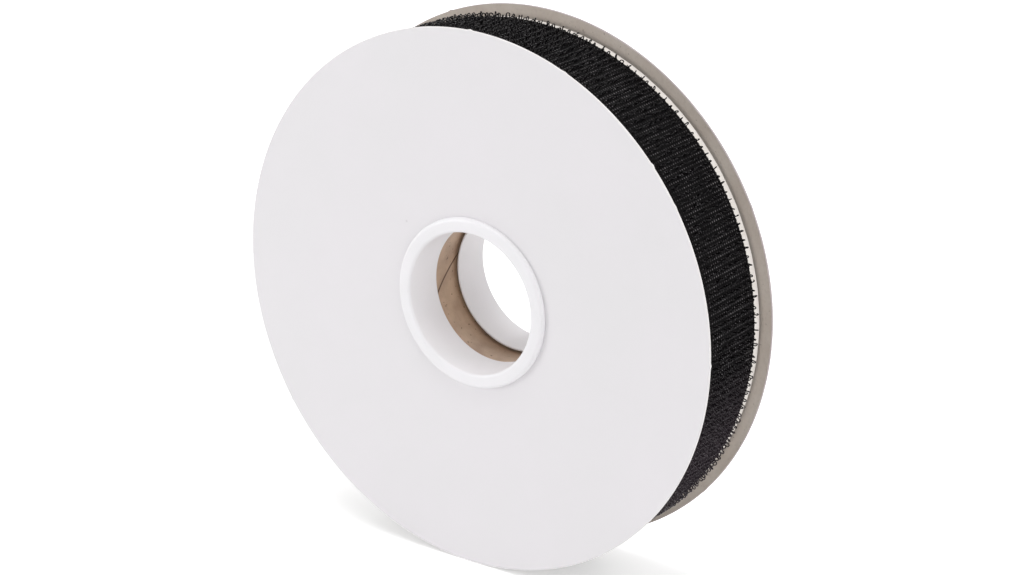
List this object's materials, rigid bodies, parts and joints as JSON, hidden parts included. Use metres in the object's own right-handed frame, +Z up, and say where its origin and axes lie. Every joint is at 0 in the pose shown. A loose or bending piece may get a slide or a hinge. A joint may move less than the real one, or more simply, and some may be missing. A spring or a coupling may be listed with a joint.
{
  "type": "hook and loop tape roll",
  "caption": "Reel of black self-adhesive hook tape wound with its release paper on a paper core between white board discs held by flanged hubs; the free end peels up.",
  "frame": {"origin": "on the reel's axis, in the middle of the reel's whole length between the faces of its two hubs", "axes": "+Y along the reel's axis, from the front disc to the rear disc; +Z up, with the reel standing on the rims of its discs; +X to the right as the front disc is seen"},
  "size_m": [0.137, 0.031, 0.137],
  "materials": {
    "board": "white coated board, satin",
    "kraft": "spiral-wound kraft, matt",
    "hub_plastic": "moulded polypropylene, soft gloss",
    "hook_nylon": "woven nylon with monofilament hooks",
    "release_paper": "silicone-coated release paper"
  },
  "bodies": {
    "reel": {"front_disc": "board", "rear_disc": "board", "core_plies": "kraft", "core_lining": "kraft", "front_hub": "hub_plastic", "rear_hub": "hub_plastic", "inner_turns": "hook_nylon", "hook_tape": "hook_nylon", "release_paper": "release_paper"},
    "tape_end": {"tape_end": "hook_nylon"},
    "paper_end": {"paper_end": "release_paper"}
  },
  "joints": [
    {"name": "tape_peel", "type": "hinge", "parent": "reel", "child": "tape_end", "pos_m": [-0.03317, -0.00135, 0.05744], "axis": [0, 1, 0], "range_deg": [0, 100]},
    {"name": "paper_peel", "type": "hinge", "parent": "reel", "child": "paper_end", "pos_m": [-0.03279, -0.00135, 0.05679], "axis": [0, 1, 0], "range_deg": [0, 50]}
  ],
  "couplings": [
    {"joint": "paper_peel", "follows": "tape_peel", "ratio": 0.5}
  ]
}
